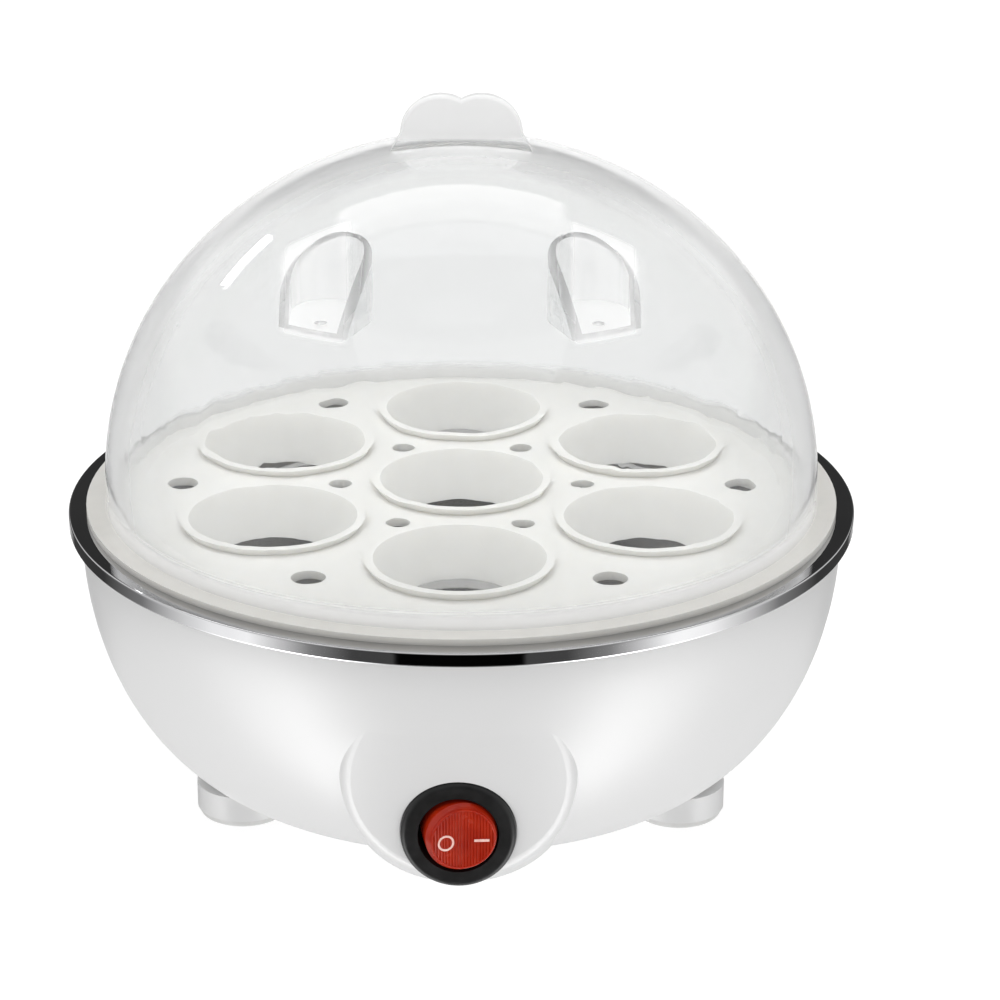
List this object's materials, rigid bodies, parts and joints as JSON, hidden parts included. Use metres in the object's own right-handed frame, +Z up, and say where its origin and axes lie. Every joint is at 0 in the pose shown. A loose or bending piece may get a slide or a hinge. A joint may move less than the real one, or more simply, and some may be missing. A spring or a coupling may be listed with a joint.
{
  "type": "egg cooker",
  "caption": "Round electric egg steamer: clear domed lid over an egg rack, steel water tray in a white bowl with a front rocker switch, heater and wiring inside.",
  "frame": {"origin": "on the table under the middle of the bowl", "axes": "+Z up, the switch faces -Y, +X to the right of a person who faces the switch"},
  "size_m": [0.168, 0.168, 0.1515],
  "materials": {
    "clear_lid": "clear moulded plastic, polished",
    "rack_plastic": "satin ivory plastic",
    "polished_steel": "polished stainless steel",
    "white_shell": "glossy white moulded plastic",
    "silicone": "soft silicone",
    "foot_rubber": "matt rubber",
    "zinc_steel": "zinc-plated steel",
    "spreader_aluminium": "cast aluminium",
    "element_steel": "heat-tinted steel tube",
    "bead_ceramic": "unglazed ceramic",
    "phenolic": "moulded phenolic",
    "black_plastic": "black moulded plastic, light texture",
    "red_rocker": "translucent red plastic",
    "white_plastic": "plain white plastic",
    "brass": "tinned brass",
    "lamp_glass": "clear glass bulb",
    "live_insulation": "brown insulation",
    "neutral_insulation": "blue insulation",
    "grey_insulation": "pale glass-fibre sleeve"
  },
  "bodies": {
    "base": {"heating_tray": "polished_steel", "tray_gasket": "silicone", "bowl_housing": "white_shell", "bottom_cover": "white_shell", "cover_screws": "zinc_steel", "foot_pad_left": "foot_rubber", "foot_pad_right": "foot_rubber", "foot_pad_rear": "foot_rubber", "heat_spreader": "spreader_aluminium", "heating_element": "element_steel", "element_pins": "zinc_steel", "element_beads": "bead_ceramic", "tray_stud": "zinc_steel", "hold_down_strap": "zinc_steel", "strap_screws": "zinc_steel", "stud_washer": "zinc_steel", "stud_nut": "zinc_steel", "thermostat_cap": "spreader_aluminium", "thermostat_body": "phenolic", "thermostat_terminals": "brass", "thermostat_bracket": "zinc_steel", "bracket_screws": "zinc_steel", "thermal_fuse": "spreader_aluminium", "fuse_clip": "zinc_steel", "clip_screw": "zinc_steel", "switch_body": "black_plastic", "switch_terminals": "brass", "indicator_lamp": "lamp_glass", "cord_gland": "white_plastic", "cord_clamp": "white_plastic", "clamp_screws": "zinc_steel", "terminal_block": "white_plastic", "block_screws": "zinc_steel", "live_lead": "live_insulation", "switched_lead": "grey_insulation", "heater_lead": "grey_insulation", "fuse_lead": "grey_insulation", "neutral_lead": "neutral_insulation", "lamp_lead": "neutral_insulation"},
    "rack": {"egg_rack": "rack_plastic"},
    "lid": {"lid": "clear_lid"},
    "rocker": {"rocker": "red_rocker", "rocker_plunger": "white_plastic", "rocker_spring": "zinc_steel"},
    "contact": {"contact_lever": "brass"}
  },
  "joints": [
    {"name": "rack_lift", "type": "slide", "parent": "base", "child": "rack", "axis": [0, 0, 1], "range_m": [0, 0.12]},
    {"name": "lid_lift", "type": "slide", "parent": "rack", "child": "lid", "axis": [0, 0, 1], "range_m": [0, 0.15]},
    {"name": "rocker_tilt", "type": "hinge", "parent": "base", "child": "rocker", "pos_m": [0, -0.0758, 0.0217], "axis": [0, 0, 1], "range_deg": [-22, 0]},
    {"name": "contact_tip", "type": "hinge", "parent": "base", "child": "contact", "pos_m": [0, -0.0683, 0.0217], "axis": [0, 0, 1], "range_deg": [0, 12.2]}
  ],
  "couplings": [
    {"joint": "contact_tip", "follows": "rocker_tilt", "ratio": -0.54546}
  ]
}
